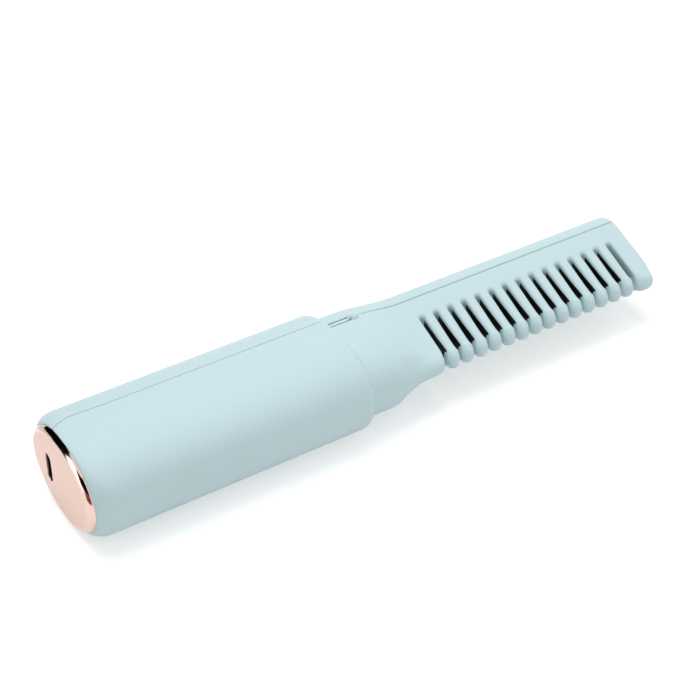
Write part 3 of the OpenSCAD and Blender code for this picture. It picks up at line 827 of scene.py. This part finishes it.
def metal(name, color, rough, stretch=(1, 1, 1), grain=4.0, strength=0.2, depth=0.01, vary=0.06):
    """Metal with a brushed or drawn grain that runs where stretch is smallest."""
    m, t, b = new_material(name, color, rough, 1.0)
    v = coords(t, stretch)
    fine = noise(t, v, grain, 3.0)
    bump(t, b, fine, strength, depth)
    spread(t, fine, max(0.05, rough - 0.08), rough + 0.1, b.inputs["Roughness"])
    spread(t, noise(t, v, grain / 6, 2.0), scaled(color, 1 - vary), scaled(color, 1 + vary),
           b.inputs["Base Color"])
    return m


def glossy(name, color, rough=0.25, coat=0.5, vary=0.05):
    """Glossy plastic or enamel, with faint ripples under a clear coat."""
    m, t, b = new_material(name, color, rough)
    b.inputs["Coat Weight"].default_value = coat
    b.inputs["Coat Roughness"].default_value = 0.08
    v = coords(t)
    ripple = noise(t, v, 0.7, 2.0)
    bump(t, b, ripple, 0.2, 0.02)
    spread(t, noise(t, v, 2.5, 4.0), scaled(color, 1 - vary), scaled(color, 1 + vary),
           b.inputs["Base Color"])
    spread(t, ripple, rough - 0.05, rough + 0.08, b.inputs["Roughness"])
    return m


def soft(name, color, rough=0.65, cell=2.0, depth=0.06):
    """Rubber, silicone or foam: open pores and a little sheen."""
    m, t, b = new_material(name, color, rough)
    b.inputs["Sheen Weight"].default_value = 0.15
    v = coords(t)
    pores = t.nodes.new("ShaderNodeTexVoronoi")
    pores.inputs["Scale"].default_value = cell
    t.links.new(v, pores.inputs["Vector"])
    bump(t, b, pores.outputs["Distance"], 0.5, depth)
    spread(t, noise(t, v, 0.8, 3.0), scaled(color, 0.92), scaled(color, 1.08), b.inputs["Base Color"])
    return m


def circuit_board():
    """Solder mask over copper: a grid of traces about 1 mm apart shows as raised, paler lines."""
    green = (0.02, 0.16, 0.07)
    m, t, b = new_material("board", green, 0.35)
    b.inputs["Coat Weight"].default_value = 0.6
    b.inputs["Coat Roughness"].default_value = 0.15
    v = coords(t)
    brick = t.nodes.new("ShaderNodeTexBrick")
    brick.inputs["Scale"].default_value = 0.22
    brick.inputs["Mortar Size"].default_value = 0.035
    brick.inputs["Mortar Smooth"].default_value = 0.2
    brick.inputs["Color1"].default_value = (0, 0, 0, 1)
    brick.inputs["Color2"].default_value = (0.25, 0.25, 0.25, 1)
    brick.inputs["Mortar"].default_value = (1, 1, 1, 1)
    turn = t.nodes.new("ShaderNodeMapping")
    turn.inputs["Rotation"].default_value = (math.radians(90), 0, 0)
    t.links.new(v, turn.inputs["Vector"])
    t.links.new(turn.outputs["Vector"], brick.inputs["Vector"])
    bump(t, b, brick.outputs["Color"], 0.6, 0.03)
    spread(t, brick.outputs["Color"], green, (0.05, 0.30, 0.13), b.inputs["Base Color"])
    spread(t, noise(t, v, 3.0), 0.3, 0.42, b.inputs["Roughness"])
    return m


def cell_sleeve():
    """Heat-shrink sleeve: glossy, with fine shrink wrinkles round the cell and bare metal at its ends."""
    blue_wrap = (0.04, 0.15, 0.38)
    m, t, b = new_material("cell_wrap", blue_wrap, 0.25)
    v = coords(t, (1.6, 0.25, 0.25))
    wrinkle = noise(t, v, 0.8, 3.0)
    bump(t, b, wrinkle, 0.35, 0.05)
    place = t.nodes.new("ShaderNodeSeparateXYZ")
    t.links.new(coords(t), place.inputs["Vector"])
    from_middle = math_node(t, "ADD", place.outputs["X"], -(CELL_MID_X + SHIFT[0]))
    bare = math_node(t, "GREATER_THAN", math_node(t, "ABSOLUTE", from_middle), SLEEVE_HALF)
    spread(t, bare, blue_wrap, (0.55, 0.55, 0.53), b.inputs["Base Color"])
    t.links.new(bare, b.inputs["Metallic"])
    return m


def translucent():
    """Milky light pipe: scatters light, with a lightly polished end."""
    m, t, b = new_material("clear_plastic", (0.86, 0.88, 0.84), 0.2)
    b.inputs["Subsurface Weight"].default_value = 0.4
    b.inputs["Subsurface Radius"].default_value = (1, 1, 1)
    b.inputs["Subsurface Scale"].default_value = 0.8 * MM
    v = coords(t)
    bump(t, b, noise(t, v, 3.0), 0.1, 0.02)
    spread(t, noise(t, v, 0.6), 0.14, 0.3, b.inputs["Roughness"])
    return m


def shell_material():
    """Pastel blue, soft-touch: a very fine matte grain over barely uneven colour."""
    m, t, b = new_material("shell_blue", SHELL_BLUE, 0.42)
    b.inputs["Specular IOR Level"].default_value = 0.45
    v = coords(t)
    fine = noise(t, v, 7.0, 2.0, 0.6)
    bump(t, b, fine, 0.10, 0.012)
    spread(t, fine, 0.38, 0.47, b.inputs["Roughness"])
    spread(t, noise(t, v, 0.05, 2.0), scaled(SHELL_BLUE, 0.985), scaled(SHELL_BLUE, 1.015),
           b.inputs["Base Color"])
    return m


def anodised(name, color, rough, stretch, grain, relief, rough_range, vary):
    """Anodised aluminium. Grain is a noise's values, relief its strength and depth in mm."""
    m, t, b = new_material(name, color, rough, 1.0)
    v = coords(t, stretch)
    fine = noise(t, v, *grain)
    bump(t, b, fine, *relief)
    spread(t, fine, *rough_range, b.inputs["Roughness"])
    spread(t, noise(t, v, 0.3, vary[1]), scaled(color, 1 - vary[0]), scaled(color, 1 + vary[0]),
           b.inputs["Base Color"])
    return m


def cap_materials():
    """Rose gold anodised aluminium: a blasted face and a diamond-cut rounded rim."""
    face = anodised("cap_satin", CAP_ROSE, 0.42, (1, 1, 1), (9.0, 2.0, 0.7), (0.25, 0.01),
                    (0.36, 0.5), (0.02, 2.0))
    rim = anodised("cap_polished", CAP_ROSE, 0.1, (12, 1, 1), (1.0, 2.0), (0.05, 0.004),
                   (0.07, 0.13), (0.03, 3.0))
    return face, rim


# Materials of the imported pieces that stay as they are
NODE_MATERIALS = {
    "end_frame battery_cradle": moulded("frame_plastic", (0.62, 0.64, 0.66), 0.5, 1.5, 0.04, 0.3),
    "cap_screws board_screws heater_screws": metal("screw_steel", STEEL, 0.28, (1, 4, 1), 3.0),
    "switch_plunger switch_body": moulded("dark_plastic", DARK, 0.45, 3.0, 0.03, 0.3, 0.15),
    "light_guide": translucent(),
    "status_leds": glossy("led", (0.85, 0.80, 0.45), 0.2, 0.8, 0.1),
    "main_board": circuit_board(),
    "usb_shell": metal("port_steel", (0.06, 0.055, 0.06), 0.3, (0.15, 2, 2), 3.0, 0.15),
    "usb_tongue": moulded("port_black", (0.012, 0.012, 0.014), 0.4, 4.0, 0.02, 0.3, 0.2),
    "usb_contacts": metal("contact_gold", (0.85, 0.58, 0.20), 0.2, (0.2, 3, 3), 5.0, 0.1),
    "charge_chip control_chip heater_driver": moulded("chip", PACKAGE, 0.55, 5.0, 0.03, 0.5, 0.2),
    "power_inductor": moulded("ferrite", (0.04, 0.04, 0.043), 0.6, 6.0, 0.05, 0.6, 0.2),
    "capacitors": glossy("capacitor", (0.42, 0.27, 0.13), 0.35, 0.3, 0.15),
    "sensor_socket": glossy("socket_white", (0.78, 0.76, 0.70), 0.35, 0.2),
    "battery_cell": cell_sleeve(),
    "battery_tabs": metal("nickel", (0.60, 0.58, 0.54), 0.3, (1, 0.2, 2), 4.0, 0.3),
    "battery_foam": soft("foam", (0.03, 0.032, 0.035), 0.85, 3.0, 0.2),
    "battery_leads": metal("copper_red", (0.62, 0.28, 0.14), 0.3, (2, 0.3, 2), 3.0),
    "heater_leads": soft("silicone_red", (0.36, 0.02, 0.015), 0.5, 1.2, 0.03),
    "sensor_leads": soft("silicone_white", (0.76, 0.73, 0.60), 0.5, 1.2, 0.03),
    "heat_barrier": moulded("barrier", (0.58, 0.47, 0.31), 0.7, 1.0, 0.1, 0.6, 0.15),
    "thermal_fuse": metal("fuse", (0.5, 0.5, 0.5), 0.3, (0.2, 2, 2), 3.0),
    "heater_element": moulded("ceramic", (0.80, 0.78, 0.73), 0.6, 3.0, 0.03, 0.4, 0.04),
    "mica_sheet": glossy("mica", (0.40, 0.29, 0.15), 0.4, 0.4, 0.25),
    "heater_clamp": metal("spring_steel", (0.38, 0.40, 0.44), 0.3, (0.15, 2, 2), 3.0, 0.3),
    "thermistor": moulded("sensor_bead", (0.015, 0.012, 0.010), 0.35, 1.0, 0.06, 0.4, 0.2),
}
for names, material in NODE_MATERIALS.items():
    for node in names.split():
        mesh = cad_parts[node].data
        mesh.materials.clear()
        mesh.materials.append(material)


# The object's own pieces
def take(obj, node, body, slot_name, *materials):
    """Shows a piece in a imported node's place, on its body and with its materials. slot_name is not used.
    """
    for m in materials:
        obj.data.materials.append(m)
    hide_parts(node)
    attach(obj, body)


blue = shell_material()
take(mesh_piece("housing_skin", *surface(housing_distance, XS, YS, ZS)),
     "main_housing", "comb", "shell", blue)
take(mesh_piece("lid_skin", *surface(lid_distance, XS, YS, ZS)),
     "spine_lid", "comb", "shell", blue)

cap = make_cap()
take(cap, "end_cap", "comb", "cap", *cap_materials())
polish_rim(cap)

heat_black = moulded("heater_black", (0.010, 0.010, 0.011), 0.3, 3.0, 0.01, 0.2, 0.2)
take(make_heater(), "heater_comb", "comb", "heater_black", heat_black)
button_plastic = moulded("button_plastic", (0.70, 0.83, 0.85), 0.4, 7.0, 0.012, 0.12, 0.015)
take(make_button(), "power_button", "button", "button", button_plastic)


# Floor, world and light
def step_between(tree, value, low, high, edge):
    """1 between low and high, with soft edges."""
    out = []
    for limit, sign in ((low, 1), (high, -1)):
        n = tree.nodes.new("ShaderNodeMapRange")
        n.interpolation_type = "SMOOTHSTEP"
        n.inputs["From Min"].default_value = limit - sign * edge
        n.inputs["From Max"].default_value = limit + sign * edge
        tree.links.new(value, n.inputs["Value"])
        out.append(n.outputs["Result"])
    return math_node(tree, "MULTIPLY", *out)


def compass(tree, x, y):
    """Direction of a point in degrees from +X towards +Y."""
    return math_node(tree, "DEGREES", math_node(tree, "ARCTAN2", y, x))


# What only reflections see: from and to degrees from +X towards +Y, and degrees up in the sky
FLAG_BEHIND = (68, 151)
FLAG_BEHIND_UP = (-20, 72)
FLAG_FRONT = (190, 268, 22, 62)
WINDOW = (148, 190, -20, 60)
BROWN_CARD = (208, 268, -20, 22)
BROWN = (0.22, 0.08, 0.04)
# The dark card that lies on the floor: metres from the cap, from and to
FLOOR_CARD = (0.07, 1.5)
CAP_X = (SHIFT[0] - 1) * MM
# The floor's white and its glow, which brings what the camera sees past white but for the shadow
FLOOR_WHITE = (0.82, 0.82, 0.82)
FLOOR_GLOW = 0.45
FLOOR_GLOW_MIRRORED = 0.3
# The floor's side in metres, and how far it lies below the object so that no faces share a plane
FLOOR_SIZE = 6
FLOOR_BELOW = 0.0002
WORLD_LEVEL = 0.52


def floor_material():
    """White floor that takes the shadow. Reflections also see a dark card on it, behind the cap."""
    m = bpy.data.materials.new("floor_white")
    m.use_nodes = True
    t = m.node_tree
    b = t.nodes["Principled BSDF"]
    b.inputs["Base Color"].default_value = (*FLOOR_WHITE, 1)
    b.inputs["Roughness"].default_value = 0.9
    b.inputs["Emission Color"].default_value = (1, 1, 1, 1)
    path = t.nodes.new("ShaderNodeLightPath")
    seen = math_node(t, "MAXIMUM", path.outputs["Is Camera Ray"], path.outputs["Is Transmission Ray"])
    place = t.nodes.new("ShaderNodeTexCoord")
    xyz = t.nodes.new("ShaderNodeSeparateXYZ")
    t.links.new(place.outputs["Object"], xyz.inputs[0])
    dx = math_node(t, "SUBTRACT", xyz.outputs["X"], CAP_X)
    away = math_node(t, "SQRT", math_node(t, "ADD", math_node(t, "MULTIPLY", dx, dx),
                                          math_node(t, "MULTIPLY", xyz.outputs["Y"], xyz.outputs["Y"])))
    card = math_node(t, "MULTIPLY", step_between(t, compass(t, dx, xyz.outputs["Y"]), *FLAG_BEHIND, 4),
                     step_between(t, away, *FLOOR_CARD, 0.01))
    mirror = math_node(t, "MULTIPLY", path.outputs["Is Glossy Ray"], math_node(t, "SUBTRACT", 1.0, card))
    glow = math_node(t, "ADD", math_node(t, "MULTIPLY", seen, FLOOR_GLOW),
                     math_node(t, "MULTIPLY", mirror, FLOOR_GLOW_MIRRORED))
    t.links.new(glow, b.inputs["Emission Strength"])
    return m


def make_world():
    """Soft white light. Reflections see full white, a bright window to the left and dark cards."""
    world = bpy.data.worlds.new("world")
    scene.world = world
    world.use_nodes = True
    t = world.node_tree
    back = t.nodes["Background"]
    path = t.nodes.new("ShaderNodeLightPath")
    place = t.nodes.new("ShaderNodeTexCoord")
    xyz = t.nodes.new("ShaderNodeSeparateXYZ")
    t.links.new(place.outputs["Generated"], xyz.inputs[0])
    turn = compass(t, xyz.outputs["X"], xyz.outputs["Y"])
    full = math_node(t, "MODULO", math_node(t, "ADD", turn, 360.0), 360.0)
    up = math_node(t, "DEGREES", math_node(t, "ARCSINE", xyz.outputs["Z"]))

    def card(a0, a1, e0, e1):
        around = step_between(t, full, a0, a1, 3)
        return math_node(t, "MULTIPLY", around, step_between(t, up, e0, e1, 3))
    tone = t.nodes.new("ShaderNodeMix")
    tone.data_type = "RGBA"
    tone.inputs[6].default_value = (1, 1, 1, 1)
    tone.inputs[7].default_value = (*BROWN, 1)
    t.links.new(card(*BROWN_CARD), tone.inputs[0])
    dark = math_node(t, "ADD", card(*FLAG_BEHIND, *FLAG_BEHIND_UP), card(*FLAG_FRONT))
    white = math_node(t, "ADD", 1.0, card(*WINDOW))
    open_sky = math_node(t, "SUBTRACT", 1.0, math_node(t, "MINIMUM", dark, 1.0))
    mirror = math_node(t, "MULTIPLY", white, open_sky)
    seen = math_node(t, "MAXIMUM", path.outputs["Is Camera Ray"], path.outputs["Is Transmission Ray"])
    plain = math_node(t, "MAXIMUM", seen, WORLD_LEVEL)
    level = t.nodes.new("ShaderNodeMix")
    t.links.new(path.outputs["Is Glossy Ray"], level.inputs[0])
    t.links.new(plain, level.inputs[2])
    t.links.new(mirror, level.inputs[3])
    color = t.nodes.new("ShaderNodeMix")
    color.data_type = "RGBA"
    color.inputs[6].default_value = (1, 1, 1, 1)
    t.links.new(path.outputs["Is Glossy Ray"], color.inputs[0])
    t.links.new(tone.outputs[2], color.inputs[7])
    t.links.new(color.outputs[2], back.inputs["Color"])
    t.links.new(level.outputs[0], back.inputs["Strength"])


make_world()

bpy.ops.mesh.primitive_plane_add(size=FLOOR_SIZE, location=(0, 0, -FLOOR_BELOW))
floor = bpy.context.object
floor.name = "floor"
floor.data.materials.append(floor_material())


def area_light(name, place, target, size, power):
    """A square soft light that shows in no reflection."""
    data = bpy.data.lights.new(name, "AREA")
    data.energy = power
    data.shape = "SQUARE"
    data.size = size
    obj = bpy.data.objects.new(name, data)
    obj.location = place
    obj.rotation_euler = (Vector(target) - Vector(place)).to_track_quat("-Z", "Y").to_euler()
    obj.visible_glossy = False
    scene.collection.objects.link(obj)


area_light("key", (-0.05, 0.25, 0.85), (0, 0, 0), 0.7, 4.6)
area_light("fill", (0.5, -0.9, 0.5), (0, 0, 0), 0.6, 1.4)

scene.view_settings.view_transform = "Standard"
